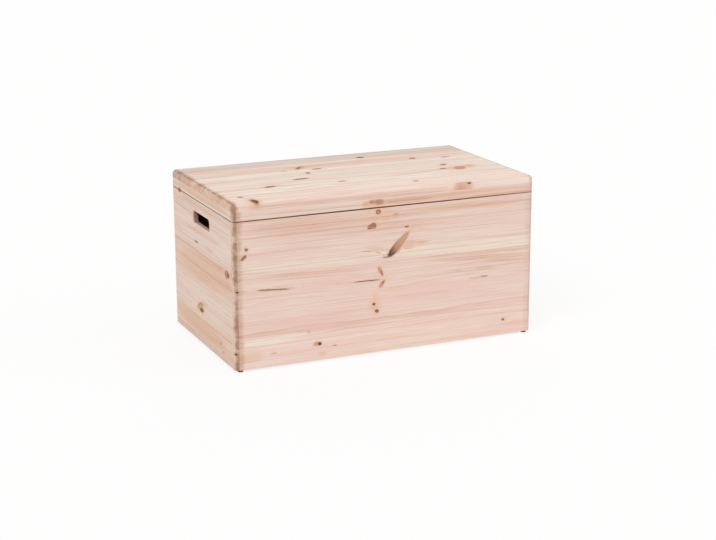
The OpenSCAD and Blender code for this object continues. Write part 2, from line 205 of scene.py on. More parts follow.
def rings(t, grain, radius, nearest):
    """The dark part of each year's ring, in unequal years, with a fine waver and a bend round each knot."""
    waver_at = add(t, "VectorMath", {"operation": "MULTIPLY"}, {0: grain, 1: per(WAVER_SIZE)})
    waver = add(t, "TexNoise", {}, {"Vector": waver_at, "Scale": 1.0, "Detail": 1.0})
    sized = add(t, "Math", {"operation": "MULTIPLY"}, {0: radius, 1: 1 / YEARS_SIZE})
    uneven = add(t, "TexNoise", {"noise_dimensions": "1D"}, {"W": sized, "Scale": 1.0, "Detail": 1.0})
    years = add(t, "Math", {"operation": "MULTIPLY_ADD"}, {0: waver, 1: WAVER, 2: radius})
    years = add(t, "Math", {"operation": "MULTIPLY_ADD"}, {0: uneven, 1: UNEVEN, 2: years})
    for reach in nearest.values():
        bend = add(t, "MapRange", SOFT, {
            VALUE: reach, NEAR: BEND[0], FAR: BEND[1], AT_NEAR: KNOT_BEND, AT_FAR: 0.0})
        years = add(t, "Math", {"operation": "ADD"}, {0: years, 1: bend})
    year = add(t, "Math", {"operation": "DIVIDE"}, {0: years, 1: RING})
    which = add(t, "Math", {"operation": "FLOOR"}, {0: year})
    season = add(t, "Math", {"operation": "FRACT"}, {0: year})
    vigour = add(t, "TexWhiteNoise", {"noise_dimensions": "1D"}, {"W": which})
    summer = add(t, "ValToRGB", {"stops": YEAR}, {0: season})
    # Few rings are strong, and none is missing.
    strong = add(t, "Math", {"operation": "POWER"}, {0: vigour, 1: 1.6})
    strong = add(t, "Math", {"operation": "MULTIPLY_ADD"}, {0: strong, 1: 1.5, 2: 0.3})
    return add(t, "Math", {"operation": "MULTIPLY"}, {0: summer, 1: strong})


def spike_knot(t, board, wood, where, across, spot):
    """A branch sawn lengthwise, nearly black at the end where it stops at a glue joint. Returns the wood with the
    spike in it, and where the spike covers it."""
    joint, halo_reach, halo_strength, stops = spot[5:]
    _, inside = oval(t, where, spot, (board["face"], THROUGH_ALL))
    sides = add(t, "SeparateXYZ", {}, {0: inside})
    # Egg-shaped: it narrows towards its far end.
    taper = add(t, "MapRange", {}, {VALUE: sides.outputs[0], NEAR: -1.0, FAR: 1.0, AT_NEAR: 1.15, AT_FAR: 1.6})
    wide = add(t, "Math", {"operation": "MULTIPLY"}, {0: sides.outputs[1], 1: taper})
    egg = add(t, "CombineXYZ", {}, {0: sides.outputs[0], 1: wide})
    reach = add(t, "VectorMath", {"operation": "LENGTH"}, {0: egg})
    # Its own grain, a few streaks lengthwise, mottles the slanted change from dark to light along it.
    grained_at = add(t, "VectorMath", {"operation": "MULTIPLY"}, {0: inside, 1: (0.9, 5.0, 0)})
    grained = add(t, "TexNoise", {}, {"Vector": grained_at, "Scale": 1.0, "Detail": 2.0})
    slanted = add(t, "Math", {"operation": "MULTIPLY_ADD"}, {0: sides.outputs[1], 1: -0.18, 2: sides.outputs[0]})
    mottled = add(t, "Math", {"operation": "MULTIPLY_ADD"}, {0: grained, 1: 1.1, 2: slanted})
    shade = add(t, "MapRange", {}, {VALUE: mottled, NEAR: -0.45, FAR: 1.55, AT_NEAR: 0.0, AT_FAR: 1.0})
    body = add(t, "ValToRGB", {"stops": stops}, {0: shade})
    past = add(t, "MapRange", {}, {VALUE: across, NEAR: joint, FAR: joint - 1, AT_NEAR: 0.0, AT_FAR: FAR_OFF})
    reach = add(t, "Math", {"operation": "MAXIMUM"}, {0: reach, 1: past})
    halo = add(t, "MapRange", SOFT, {
        VALUE: reach, NEAR: HALO_FULL, FAR: halo_reach, AT_NEAR: halo_strength, AT_FAR: 0.0})
    wood = add(t, "Mix", LAID_OVER, {SHARE: halo, UNDER: wood, OVER: SPIKE_HALO})
    off_rim = add(t, "Math", {"operation": "SUBTRACT"}, {0: reach, 1: SPIKE_RIM})
    off_rim = add(t, "Math", {"operation": "ABSOLUTE"}, {0: off_rim})
    rim = add(t, "MapRange", SOFT, {VALUE: off_rim, NEAR: 0.03, FAR: 0.22, AT_NEAR: 0.35, AT_FAR: 0.0})
    rimmed = add(t, "Mix", TINTED, {SHARE: rim, UNDER: body, OVER: SPIKE_RIM_TINT})
    cover = add(t, "MapRange", SOFT, {VALUE: reach, NEAR: SPIKE[0], FAR: SPIKE[1], AT_NEAR: 1.0, AT_FAR: 0.0})
    return add(t, "Mix", LAID_OVER, {SHARE: cover, UNDER: wood, OVER: rimmed}), cover


def end_grain(t, wood, board, grain, along, facing):
    """Sanded round, end grain is darkest where it first turns away from the face, and lighter square on."""
    turned = add(t, "Math", {"operation": "ABSOLUTE"}, {0: facing})
    patch_at = add(t, "VectorMath", {"operation": "MULTIPLY"}, {0: grain, 1: per(PATCH_SIZE)})
    patch = add(t, "TexNoise", {}, {"Vector": patch_at, "Scale": 1.0, "Detail": 3.0, "Roughness": 0.65})
    uneven_turn = add(t, "Math", {"operation": "MULTIPLY_ADD"}, {0: patch, 1: -0.7, 2: turned})
    dark_at = add(t, "Math", {"operation": "ADD"}, {0: uneven_turn, 1: 0.35})
    dark = add(t, "ValToRGB", {"stops": board["ends"]}, {0: dark_at})
    # How dark the end grain comes out: darker at one end of a board than at the other, in blotches.
    half = board["half"]
    end_darkness = add(t, "MapRange", {}, {
        VALUE: along, NEAR: -half, FAR: half, AT_NEAR: board["end_darkness"][0], AT_FAR: board["end_darkness"][1]})
    blotchy = add(t, "MapRange", {}, {VALUE: patch, NEAR: 0.36, FAR: 0.62, AT_NEAR: 0.55, AT_FAR: 1.15})
    end_darkness = add(t, "Math", {"operation": "MULTIPLY"}, {0: end_darkness, 1: blotchy})
    ends = add(t, "MapRange", SOFT, {VALUE: turned, NEAR: 0.04, FAR: 0.2, AT_NEAR: 0.0, AT_FAR: end_darkness})
    wood = add(t, "Mix", TINTED, {SHARE: ends, UNDER: wood, OVER: dark})
    # The tone creeps on round the rounded edge and a little way into the face.
    off_middle = add(t, "Math", {"operation": "ABSOLUTE"}, {0: along})
    ragged_edge = add(t, "Math", {"operation": "MULTIPLY_ADD"}, {0: patch, 1: EDGE_RAGGED, 2: off_middle})
    edge = half - CORNER_R + EDGE_RAGGED / 2
    on_face = add(t, "MapRange", {}, {VALUE: turned, NEAR: 0.04, FAR: 0.2, AT_NEAR: 1.0, AT_FAR: 0.0})
    creep = add(t, "Math", {"operation": "MULTIPLY"}, {0: end_darkness, 1: on_face})
    toned = add(t, "MapRange", SOFT, {
        VALUE: ragged_edge, NEAR: edge - board["toned"], FAR: edge, AT_NEAR: 0.0, AT_FAR: creep})
    return add(t, "Mix", TINTED, {SHARE: toned, UNDER: wood, OVER: EDGE_TINT})


def seam_and_hole_shade(t, wood, board, along, across, through):
    """Painted shade, in brown: along the edges of the cut that parted lid and body, where the seam lies in shadow, and
    on the hand hole's walls, in the shade inside the hole.
    """
    if "cut" not in board:
        return wood
    deep = add(t, "Math", {"operation": "SUBTRACT"}, {0: through, 1: board["face"]})
    deep = add(t, "Math", {"operation": "ABSOLUTE"}, {0: deep})
    off_cut = add(t, "Math", {"operation": "SUBTRACT"}, {0: across, 1: CUT_Z})
    off_cut = add(t, "Math", {"operation": "ABSOLUTE"}, {0: off_cut})
    # Painted shade: the seam is darkest round one place along it, and fades away from there.
    darkest_at, darkest_near, darkest_far = board["seam_darkest"]
    off_darkest = add(t, "Math", {"operation": "SUBTRACT"}, {0: along, 1: darkest_at})
    off_darkest = add(t, "Math", {"operation": "ABSOLUTE"}, {0: off_darkest})
    seam_darkness = add(t, "MapRange", SOFT, {VALUE: off_darkest, NEAR: darkest_near, FAR: darkest_far, AT_NEAR: 1.0, AT_FAR: 0.0})
    at_edge = add(t, "MapRange", SOFT, {
        VALUE: deep, NEAR: CUT_DEEP[0], FAR: CUT_DEEP[1], AT_NEAR: seam_darkness, AT_FAR: 0.0})
    seam_shade = add(t, "MapRange", SOFT, {
        VALUE: off_cut, NEAR: CUT_EDGE[0], FAR: CUT_EDGE[1], AT_NEAR: at_edge, AT_FAR: 0.0})
    # The cut tint is painted shade in the seam between lid and body.
    wood = add(t, "Mix", TINTED, {SHARE: seam_shade, UNDER: wood, OVER: board["cut"]})
    if "hole" not in board:
        return wood
    # Painted shade on the hand hole's walls, inside its recess.
    off_hole = add(t, "Math", {"operation": "SUBTRACT"}, {0: across, 1: HOLE_Z})
    off_hole = add(t, "Math", {"operation": "ABSOLUTE"}, {0: off_hole})
    # Only the walls of the hole, and neither face of the board.
    past_face = add(t, "MapRange", SOFT, {VALUE: deep, NEAR: 1.0, FAR: 3.5, AT_NEAR: 0.0, AT_FAR: 1.0})
    in_board = add(t, "MapRange", SOFT, {
        VALUE: deep, NEAR: BOARD_T - 1.5, FAR: BOARD_T - 0.5, AT_NEAR: past_face, AT_FAR: 0.0})
    hole_shade = add(t, "MapRange", SOFT, {
        VALUE: off_hole, NEAR: HOLE_EDGE[0], FAR: HOLE_EDGE[1], AT_NEAR: in_board, AT_FAR: 0.0})
    return add(t, "Mix", TINTED, {SHARE: hole_shade, UNDER: wood, OVER: board["hole"]})


# What each kind of knot looks like. core: its tones, from its middle to its rim at 1. halo: the wood it stains, out
# to spread on the same measure, at this strength.
KNOT_LOOKS = {
    # Died on the tree and kept its bark: the darkest.
    "bark": {
        "core": [(0.0, "8A5F4D"), (0.45, "74503F"), (0.8, "5A3B2C"), (1.0, "6E4B3A")],
        "halo": "E0B99F", "spread": 2.4, "strength": 0.55,
    },
    # Died on the tree: dull brown, a little darker at the rim.
    "dead": {
        "core": [(0.0, "97705F"), (0.5, "8E6454"), (0.85, "7F5745"), (1.0, "9A6F5B")],
        "halo": "E0B99C", "spread": 2.8, "strength": 0.5,
    },
    # Grown into the wood: red-brown with a darker rim.
    "live": {
        "core": [(0.0, "A87C66"), (0.6, "A27560"), (0.85, "996A53"), (1.0, "AA7E66")],
        "halo": "E3BBA2", "spread": 2.4, "strength": 0.5,
    },
    # The same, sawn square across: its pale middle shows.
    "ringed": {
        "core": [(0.0, "CDA68F"), (0.35, "BB8E78"), (0.75, "946550"), (1.0, "A57A63")],
        "halo": "E3BBA2", "spread": 2.4, "strength": 0.5,
    },
    # A thin branch sawn at a slant, little darker than the wood round it.
    "branch": {
        "core": [(0.0, "CFA089"), (0.6, "C08D76"), (1.0, "C99C86")],
        "halo": "E6BFA6", "spread": 2.2, "strength": 0.5,
    },
    # A reddish stain where a knot lies just under the surface.
    "stain": {
        "core": [(0.0, "BC8875"), (0.55, "BF8D79"), (1.0, "CDA28D")],
        "halo": "E3BDA6", "spread": 1.5, "strength": 0.6,
    },
    # A small tan fleck.
    "faint": {
        "core": [(0.0, "CFAE99"), (0.6, "C7A38D"), (1.0, "D2B29D")],
        "halo": "E6C8B3", "spread": 2.0, "strength": 0.35,
    },
    # A thin streak of old pitch, grey-brown.
    "pitch": {
        "core": [(0.0, "A38467"), (0.6, "A88A6E"), (1.0, "B89D85")],
        "halo": "E0C7B4", "spread": 2.0, "strength": 0.3,
    },
}

# Tints of end grain, from where it starts to turn out of the board's face to square on.
END_GRAIN = [
    (0.1, "CDBEB1"), (0.25, "B09D8D"), (0.6, "B3A090"), (0.78, "C8B7A9"), (0.92, "EFE5DE"), (1.0, "F5EDE8")]
LID_ENDS = [
    (0.1, "BFAA99"), (0.3, "B09987"), (0.5, "C0A896"), (0.7, "E2CCBC"), (0.88, "EBD7C8"), (1.0, "EDD9CB")]
# End grain at the ends of the hand holes, darkened further with painted shade from inside the holes.
HOLE_END_GRAIN_AND_SHADE = [(0.1, "CDBEB1"), (0.5, "C2AC9F"), (1.0, "D5BEB8")]


def pine(name, board):
    """Planed, unfinished pine, glued up from staves: growth rings round a wandering heart, fibres, resin and knots."""
    material, t = new_material(name)
    mm, normal = millimetres(t)
    xyz = add(t, "SeparateXYZ", {}, {0: mm})
    along, across, through = (xyz.outputs[axis] for axis in board["axes"])
    grain = add(t, "CombineXYZ", {}, {0: along, 1: across, 2: through})

    # Which stave a point is in, and that stave's own chance numbers.
    low, width = board["tones"][0][0], board["stave"]
    counted = add(t, "Math", {"operation": "MULTIPLY_ADD"}, {0: across, 1: 1 / width, 2: -low / width})
    number = add(t, "Math", {"operation": "FLOOR"}, {0: counted})
    seed = add(t, "CombineXYZ", {}, {0: number, 1: board["seed"]})
    chance = add(t, "TexWhiteNoise", {"noise_dimensions": "3D"}, {"Vector": seed}).outputs["Color"]
    radius = from_heart(t, board, grain, number, chance)

    # Knots and washes have slightly ragged outlines.
    rag_at = add(t, "VectorMath", {"operation": "MULTIPLY"}, {0: grain, 1: per(RAG_SIZE)})
    rag = add(t, "TexNoise", {}, {"Vector": rag_at, "Scale": 1.0, "Detail": 4.0, "Roughness": 0.7})
    ragged = add(t, "VectorMath", {"operation": "MULTIPLY_ADD"}, {0: rag.outputs["Color"], 1: RAGGED, 2: grain})
    centred = add(t, "VectorMath", {"operation": "SUBTRACT"}, {0: ragged, 1: [reach / 2 for reach in RAGGED]})
    nearest = nearest_knots(t, board, centred, across)
    late = rings(t, grain, radius, nearest)

    # The wood between the rings: each stave's tone, drifting between pink and cream, with washes of other tones.
    span = board["tones"][-1][0] - low + width
    tone_at = add(t, "MapRange", {}, {VALUE: across, NEAR: low, FAR: low + span, AT_NEAR: 0.0, AT_FAR: 1.0})
    tones = add(t, "ValToRGB", {"stops": [((at - low) / span, tone) for at, tone, _ in board["tones"]]}, {0: tone_at})
    tones.color_ramp.interpolation = "CONSTANT"
    shown = add(t, "ValToRGB", {"stops": [((at - low) / span, show) for at, _, show in board["tones"]]}, {0: tone_at})
    shown.color_ramp.interpolation = "CONSTANT"
    drift_at = add(t, "VectorMath", {"operation": "MULTIPLY_ADD"}, {0: grain, 1: per(DRIFT_SIZE), 2: chance})
    drift = add(t, "TexNoise", {}, {"Vector": drift_at, "Scale": 1.0, "Detail": 2.0, "Roughness": 0.55})
    drifted = add(t, "ValToRGB", {"stops": DRIFT}, {0: drift})
    wood = add(t, "Mix", LAID_OVER, {SHARE: board["drift"], UNDER: tones, OVER: drifted})
    for spot in board["washes"]:
        colour, strength = spot[5:7]
        full = spot[7] if len(spot) > 7 else 0.2
        reach, _ = oval(t, centred, spot, (board["face"], THROUGH_ALL))
        wash = add(t, "MapRange", SOFT, {VALUE: reach, NEAR: full, FAR: 1.0, AT_NEAR: strength, AT_FAR: 0.0})
        wood = add(t, "Mix", LAID_OVER, {SHARE: wash, UNDER: wood, OVER: colour})

    # Streaks of heartwood and pitch along the grain, then the rings, fibres and resin ducts.
    streak_at = add(t, "VectorMath", {"operation": "MULTIPLY_ADD"}, {0: grain, 1: per(STREAK_SIZE), 2: chance})
    streak = add(t, "TexNoise", {}, {"Vector": streak_at, "Scale": 1.0, "Detail": 3.0, "Roughness": 0.65})
    streaked = add(t, "MapRange", SOFT, {VALUE: streak, NEAR: 0.46, FAR: 0.74, AT_NEAR: 0.0, AT_FAR: 1.7})
    streaked = add(t, "Math", {"operation": "MULTIPLY"}, {0: streaked, 1: shown})
    wood = add(t, "Mix", TINTED, {SHARE: streaked, UNDER: wood, OVER: STREAK_TINT})
    late = add(t, "Math", {"operation": "MULTIPLY"}, {0: late, 1: shown})
    wood = add(t, "Mix", TINTED, {SHARE: late, UNDER: wood, OVER: LATE_TINT})
    fibre_at = add(t, "VectorMath", {"operation": "MULTIPLY"}, {0: grain, 1: per(FIBRE_SIZE)})
    fibre = add(t, "TexNoise", {}, {"Vector": fibre_at, "Scale": 1.0, "Detail": 2.0})
    fibrous = add(t, "MapRange", {}, {VALUE: fibre, NEAR: 0.35, FAR: 0.7, AT_NEAR: 0.0, AT_FAR: 1.0})
    wood = add(t, "Mix", TINTED, {SHARE: fibrous, UNDER: wood, OVER: FIBRE_TINT})
    resin = add(t, "MapRange", {}, {VALUE: fibre, NEAR: 0.71, FAR: 0.76, AT_NEAR: 0.0, AT_FAR: 0.55})
    wood = add(t, "Mix", LAID_OVER, {SHARE: resin, UNDER: wood, OVER: RESIN})

    # Knots over the wood, each in a halo of stained, bent grain.
    knotty = 0.0
    for look, reach in nearest.items():
        says = KNOT_LOOKS[look]
        halo = add(t, "MapRange", SOFT, {
            VALUE: reach, NEAR: HALO_FULL, FAR: says["spread"], AT_NEAR: says["strength"], AT_FAR: 0.0})
        wood = add(t, "Mix", LAID_OVER, {SHARE: halo, UNDER: wood, OVER: says["halo"]})
        core = add(t, "ValToRGB", {"stops": says["core"]}, {0: reach})
        cover = add(t, "MapRange", SOFT, {VALUE: reach, NEAR: KNOT[0], FAR: KNOT[1], AT_NEAR: 1.0, AT_FAR: 0.0})
        wood = add(t, "Mix", LAID_OVER, {SHARE: cover, UNDER: wood, OVER: core})
        knotty = add(t, "Math", {"operation": "MAXIMUM"}, {0: cover, 1: knotty})
    for spot in board.get("spikes", []):
        wood, cover = spike_knot(t, board, wood, centred, across, spot)
        knotty = add(t, "Math", {"operation": "MAXIMUM"}, {0: cover, 1: knotty})

    facing = add(t, "SeparateXYZ", {}, {0: normal}).outputs[board["axes"][0]]
    wood = end_grain(t, wood, board, grain, along, facing)
    wood = seam_and_hole_shade(t, wood, board, along, across, through)

    # Planed wood is matt, and its knots, which are end grain, are duller still.
    rough = add(t, "MapRange", {}, {VALUE: knotty, NEAR: 0.0, FAR: 1.0, AT_NEAR: 0.74, AT_FAR: 0.9})
    # The plane leaves fibres and the hard summer wood standing a hair proud.
    proud = add(t, "Math", {"operation": "MULTIPLY_ADD"}, {0: fibre, 1: 0.8, 2: late})
    relief = add(t, "Bump", {}, {"Height": proud, "Strength": 0.35, "Distance": 0.1 * MM})
    shader = add(t, "BsdfPrincipled", {}, {
        "Base Color": wood, "Roughness": rough, "Normal": relief, "IOR": 1.5, "Specular IOR Level": 0.3})
    add(t, "OutputMaterial", {}, {"Surface": shader})
    return material


# Each board's wood, all in millimetres.
#   axes: X, Y and Z as 0, 1 and 2, in the order along the grain, across the board, through it.
#   half: how far from the middle its grain ends; a side board's ends are hidden, so its own is past them.
#   face: where its outer face lies. stave: how wide its staves are. seed: a number that no other board has.
#   tones: for each stave its first joint, its colour, and how strongly its rings and streaks show.
#   drift: how far the tone drifts along a stave.
#   washes: place along and across, half length, half width, tilt, colour, strength, and how far out it is full.
#   knots: place along and across, half length, half width, tilt, look, and the joints or the depth it stops at.
#   spikes: place along and across, half length, half width, tilt, the joint it stops at, reach and strength of
#     the halo, and tones from its dark end to its pale one.
#   ends: tints of the end grain. end_darkness: how dark they come out at its two ends. toned: how far in the tone
#       creeps.
#   cut, hole: tints of painted shade, in the seam of the saw cut and on the hand holes' walls. seam_darkest: where
#     the seam's painted shade is darkest, and from how near and how far off it is full and gone.
# The lid was sawn from the glued-up box, so its rails carry on the figure of the boards below them.
LONG_BOARD = {
    "axes": (0, 2, 1), "half": 400, "stave": 80, "drift": 0.38,
    # The cut tint is painted shade in the seam between lid and body.
    "ends": END_GRAIN, "cut": "8E5030", "seam_darkest": (-60, 150, 700),
}
SIDE_BOARD = {
    "axes": (1, 2, 0), "half": 260, "stave": 80, "drift": 0.38,
    "ends": HOLE_END_GRAIN_AND_SHADE, "end_darkness": (0.8, 0.8), "toned": 8,
    # The cut and hole tints are painted shade: in the seam between lid and body, and on the hand holes' walls.
    "cut": "C8AC9B", "seam_darkest": (0, 260, 900), "hole": "E0CFCC",
}
FRONT = {
    **LONG_BOARD, "face": -230, "seed": 3.0, "end_darkness": (1.0, 0.25), "toned": 16,
    "tones": [
        (3, "F1D8CD", 0.36),
        (83, "ECD0C5", 0.34),
        (163, "ECD2C6", 0.5),
        (243, "EDD6CB", 0.52),
        (323, "E9D0C3", 0.6),
    ],
    "washes": [
        # Pale wood on both sides of the spike's foot.
        (215, 248, 320, 18, -1.5, "F0E6D8", 0.8, 0.65),
        (-200, 246, 210, 12, -1.5, "F0E5D8", 0.75, 0.65),
        # Stained and curled grain close round it.
        (52, 271, 38, 14, 6, "E3BDA5", 0.75, 0.25),
        (24, 256, 18, 5, 27, "E0B5A1", 0.8, 0.3),
        (20, 251.5, 18, 1.8, 25, "C0947E", 0.75),
        (53, 259, 24, 1.7, 0, "CBA089", 0.75),
        (90, 271, 26, 8, 2, "E3BA90", 0.8, 0.1),
        (-28, 266, 46, 9, -6, "E7C4AC", 0.7),
        (-59, 263, 26, 2, -3, "CBA28F", 0.8),
        (-28, 257, 14, 2, -24, "C9A08D", 0.8),
        (-13, 248, 6, 1.8, -70, "CDA795", 0.7),
        # Beside the small knot above it.
        (85, 308, 46, 5, -2, "EBC9AC", 0.65),
        # A pale band low on the left, with a pink one above it.
        (-318, 71, 135, 13, 2.6, "F1E8DB", 0.9, 0.5),
        (-250, 92, 170, 12, 0, "EBD1C5", 0.6, 0.6),
        # Tan wood under the saw cut.
        (-20, 350, 80, 28, 0, "EAC7AB", 0.7),
        (220, 352, 220, 12, -1, "E3BC9D", 0.5),
        (-260, 348, 140, 11, 1, "E2C2AA", 0.5),
        # Round the two small knots below the spike.
        (-38, 128, 26, 46, 0, "EAC6AC", 0.6),
        (20, 160, 46, 14, 0, "EAC9B0", 0.5),
        # Strong single rings, left and then right of the middle.
        (-230, 229, 190, 2.4, -2, "D9AD9C", 0.7),
        (-200, 223, 230, 2.2, -2, "DDB3A0", 0.6),
        (-230, 217, 180, 2.2, -2, "DDB5A4", 0.5),
        (250, 215, 210, 6, -1.9, "E4C4AC", 0.7, 0.4),
        (240, 219, 190, 2.2, -1.8, "D9B39A", 0.65),
        (290, 209, 160, 2.2, -2.2, "DAB4A0", 0.6),
        (330, 200, 90, 5, -4, "DDB7A4", 0.6),
        # A grey smudge with a streak.
        (264, 186, 36, 8, -4, "DCC5B2", 0.55, 0.5),
        (190, 187, 16, 2, -8, "CDB3A0", 0.6),
        # Small stains low on the left.
        (-303, 38, 14, 4, 0, "D8AEA4", 0.7),
        (-196, 45, 10, 7, 0, "DDB5A8", 0.6),
        (-178, 20, 17, 9, 0, "E3BE96", 0.6),
        (-213, 79, 9, 8, 0, "DDBBA8", 0.6),
        (-360, 36, 40, 22, 0, "E9CBB2", 0.55, 0.4),
        # The lid's rail, right of the middle.
        (210, 380, 268, 12, 0, "EBD0BE", 0.7, 0.7),
        (40, 381, 90, 9, 0, "DFB8A2", 0.75, 0.7),
        (215, 385, 258, 3.2, -0.3, "E4BEA6", 0.65, 0.5),
        (240, 374, 240, 3.4, -0.6, "E5C0A9", 0.6, 0.5),
        # Round the double knot in the lid's rail.
        (-62, 380, 10, 9, 32, "D2B59D", 0.75, 0.5),
        (-36, 380, 44, 12, 0, "E7C5AE", 0.7, 0.6),
        (-35, 382.5, 26, 9, -4, "D3A28C", 0.75, 0.3),
        # Pink wood under the saw cut on the left.
        (-220, 342, 200, 26, 0, "E2BDAD", 0.45, 0.5),
    ],
    "knots": [
        # The double knot in the lid's rail, cut off straight above and below.
        (-45, 384, 8, 5, -4, "stain", {"above": 375, "below": 389}),
        (-26, 382.5, 15, 8, -6, "stain", {"above": 375, "below": 389}),
        # Two thin branches that meet below the spike; their darker hearts come further down.
        (-22, 210, 13, 5, -64, "branch"),
        (-18, 177, 11, 5, 52, "branch"),
        # Under the saw cut, and the double knot under that.
        (-28, 358, 7, 6.4, 0, "ringed"),
        (-41, 324.8, 8.5, 8.2, 0, "live", {"above": 317.5}),
        (-48.5, 322.5, 8.5, 6.5, 0, "live", {"above": 317.5}),
        (-50, 319, 7, 1.6, 0, "dead"),
        (-19, 205, 8, 2.4, -70, "live"),
        (-15, 181, 6, 2.2, 58, "live"),
        (-367, 300, 4.6, 4.2, 0, "live"),
        (-374, 281, 9, 4, 40, "live"),
        (48, 314, 5.5, 2.6, -8, "live"),
        (-40, 128, 4.5, 4, 0, "dead"),
        (-32, 110, 5.5, 4.5, -20, "dead"),
        (-184, 46, 5.2, 4.4, 0, "bark"),
        (-191, 47, 8, 5, 0, "branch"),
        (320, 44, 4, 3, 0, "dead"),
        (-144, 37, 6, 1.6, -8, "branch"),
        (-8, 243, 8, 1.3, -6, "dead"),
        (-318, 197, 25, 2.6, -3, "pitch"),
        (-284, 194.5, 27, 2.6, -4, "pitch"),
        (-58, 189, 36, 1.5, -1, "dead"),
        (264, 164.5, 12, 1.7, -2, "pitch"),
        (238, 163, 20, 1.2, -2, "faint"),
        (19, 348.5, 8, 3, 0, "faint"),
        # Two small ones in the end grain of the corner.
        (-391, 199, 4, 2.4, 0, "dead", {"depth": (-229, 5)}),
        (-397, 46, 3, 3, 0, "bark", {"depth": (-225, 5)}),
    ],
    "spikes": [
        (25.5, 271.2, 43.5, 13.5, 45.8, 242, 1.7, 0.4,
         [(0.0, "33231A"), (0.12, "4E3426"), (0.24, "8A5F4A"), (0.36, "B98770"), (0.6, "CB9A81"), (1.0, "D0A38B")]),
    ],
}
LEFT = {
    **SIDE_BOARD, "face": -400, "seed": 5.0,
    "tones": [
        (3, "E8CDB9", 0.6),
        (83, "E9D9CC", 0.45),
        (163, "E6C8B4", 0.5),
        (243, "EAD9CD", 0.5),
        (323, "E9D7CA", 0.6),
    ],
    "washes": [
        # Tan and pinkish bands, and a greyer foot.
        (0, 357, 260, 10, 0, "E5C8B3", 0.65),
        (-60, 263, 48, 9, 2, "E3BFB2", 0.5),
        (30, 48, 250, 25, 0, "E0BFA4", 0.65, 0.5),
        (0, 384, 260, 13, 0, "E4C5AC", 0.7, 0.5),
        (0, 13, 260, 12, 0, "D9C6B8", 0.6, 0.4),
        (-20, 200, 240, 40, 0, "E4BFA6", 0.5, 0.6),
        # Round the knots.
        (-10, 112, 34, 10, 0, "DDBB9F", 0.6),
        (-127, 45, 24, 12, 0, "E2C39D", 0.6),
        (-127, 46, 14, 5, -6, "C29A76", 0.8, 0.1),
    ],
    "knots": [
        (25, 100, 24, 9, -22, "branch"),
        (-183, 232, 16, 10, -6, "live"),
        (-191, 232, 9, 5.5, 0, "dead"),
        (42, 261, 13, 2.4, 0, "live"),
        (14, 92, 15, 6, -8, "dead"),
        (-143, 28, 9, 2.5, -30, "faint"),
        (166, 368, 11, 6, 0, "live"),
    ],
}
RIGHT = {
    **SIDE_BOARD, "face": 400, "seed": 11.0,
    "tones": [
        (3, "E9D6C8", 0.6),
        (83, "EACDBB", 0.5),
        (163, "EAD8CB", 0.7),
        (243, "E6CAB7", 0.5),
        (323, "E9D7CA", 0.6),
    ],
    "washes": [
        (40, 280, 240, 34, 0, "E4C2AA", 0.5, 0.5),
        (0, 120, 260, 12, 2, "E3BFB2", 0.4),
    ],
    "knots": [
        (70, 214, 10, 8, 0, "live"),
        (-120, 118, 6, 5, 0, "dead"),
        (150, 60, 14, 4, 12, "faint"),
        (-60, 352, 8, 5, 0, "live"),
    ],
}
BACK = {
    **LONG_BOARD, "face": 230, "seed": 8.0, "end_darkness": (0.5, 0.6), "toned": 18,
    "tones": [
        (3, "EED6C8", 0.5),
        (83, "EDD3C5", 0.4),
        (163, "EFDCCD", 0.6),
        (243, "EBD0C1", 0.5),
        (323, "EED7C9", 0.6),
    ],
    "washes": [
        (-150, 205, 260, 14, 1, "EFE0D0", 0.6),
        (180, 300, 200, 12, -1, "E4C0A8", 0.45),
        (-60, 60, 160, 10, 0, "F0E2D2", 0.6),
    ],
    "knots": [
        (-120, 205, 11, 9, 10, "live"),
        (-98, 182, 6, 4, 0, "live"),
        (235, 110, 6, 5, 0, "dead"),
        (52, 292, 5, 4, 0, "dead"),
        (-310, 60, 7, 5, 0, "live"),
        (320, 250, 12, 3, -30, "faint"),
        (30, 350, 9, 7, 0, "live"),
    ],
}
